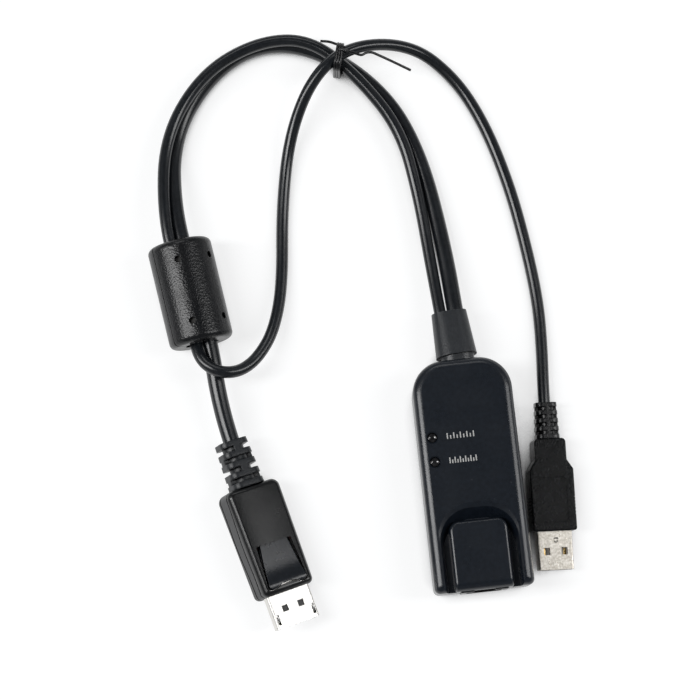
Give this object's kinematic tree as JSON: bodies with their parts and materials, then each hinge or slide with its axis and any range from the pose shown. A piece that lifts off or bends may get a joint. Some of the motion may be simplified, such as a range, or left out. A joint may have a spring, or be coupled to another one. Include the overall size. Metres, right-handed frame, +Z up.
{
  "type": "kvm dongle",
  "caption": "Slim computer interface adapter with a network socket hood, twin status lamps, and bundled video and keyboard leads ending in latching plugs.",
  "frame": {"origin": "centre of the underside of the housing, its socket included", "axes": "+Z up from the surface it lies on, +Y along the housing from the network socket to the cable end"},
  "size_m": [0.1358, 0.2048, 0.0219],
  "materials": {
    "housing_plastic": "satin moulded black",
    "boot_rubber": "matte black",
    "cable_jacket": "satin black PVC",
    "bead_plastic": "fine matte black",
    "ferrite": "grey ceramic",
    "tie_wire": "black plastic-coated wire",
    "plug_cover": "semi-gloss black",
    "plug_mould": "dark grey-black",
    "usb_overmould": "fine spark-eroded black",
    "latch_button": "gloss blue-black",
    "shell_steel": "brushed nickel plate",
    "spring_steel": "plain",
    "contact_gold": "gold plate",
    "insert_black": "black",
    "insert_white": "white",
    "jack_plastic": "black",
    "board_laminate": "green solder mask",
    "chip_plastic": "black",
    "metal_can": "plain",
    "lens_clear": "clear, unlit",
    "lamp_white": "white",
    "screw_steel": "zinc plate",
    "core_insulation": "coloured"
  },
  "bodies": {
    "adapter": {"top_cover": "housing_plastic", "bottom_cover": "housing_plastic", "cover_screws": "screw_steel", "circuit_board": "board_laminate", "network_jack": "jack_plastic", "jack_contacts": "contact_gold", "lamp_lens_1": "lens_clear", "lamp_lens_2": "lens_clear", "lamps": "lamp_white", "video_processor": "chip_plastic", "usb_controller": "chip_plastic", "crystal": "metal_can", "capacitors": "metal_can", "usb_header": "insert_white", "dp_header": "insert_white", "usb_header_cores": "core_insulation", "dp_header_cores": "core_insulation", "boot": "boot_rubber", "ferrite_core": "ferrite", "ferrite_jacket": "bead_plastic", "cable_tie": "tie_wire", "usb_cable": "cable_jacket", "dp_cable": "cable_jacket", "dp_upper_cover": "plug_cover", "dp_lower_cover": "plug_cover", "dp_inner_mould": "plug_mould", "dp_metal_shell": "shell_steel", "dp_insert": "insert_black", "dp_contacts": "contact_gold", "dp_paddle_card": "board_laminate", "dp_cores": "core_insulation", "dp_strain_relief": "plug_cover", "usb_cover": "usb_overmould", "usb_metal_shell": "shell_steel", "usb_insert": "insert_white", "usb_contacts": "contact_gold", "usb_cores": "core_insulation", "usb_strain_relief": "usb_overmould"},
    "dp_latch": {"dp_latch_button": "latch_button", "dp_latch_spring": "spring_steel"}
  },
  "joints": [
    {"name": "dp_latch_press", "type": "hinge", "parent": "adapter", "child": "dp_latch", "pos_m": [-0.06986, -0.01544, 0.0106], "axis": [0.8856, 0.2239, -0.4068], "range_deg": [0, 2.4], "stiffness_Nm_per_rad": 0.9}
  ]
}
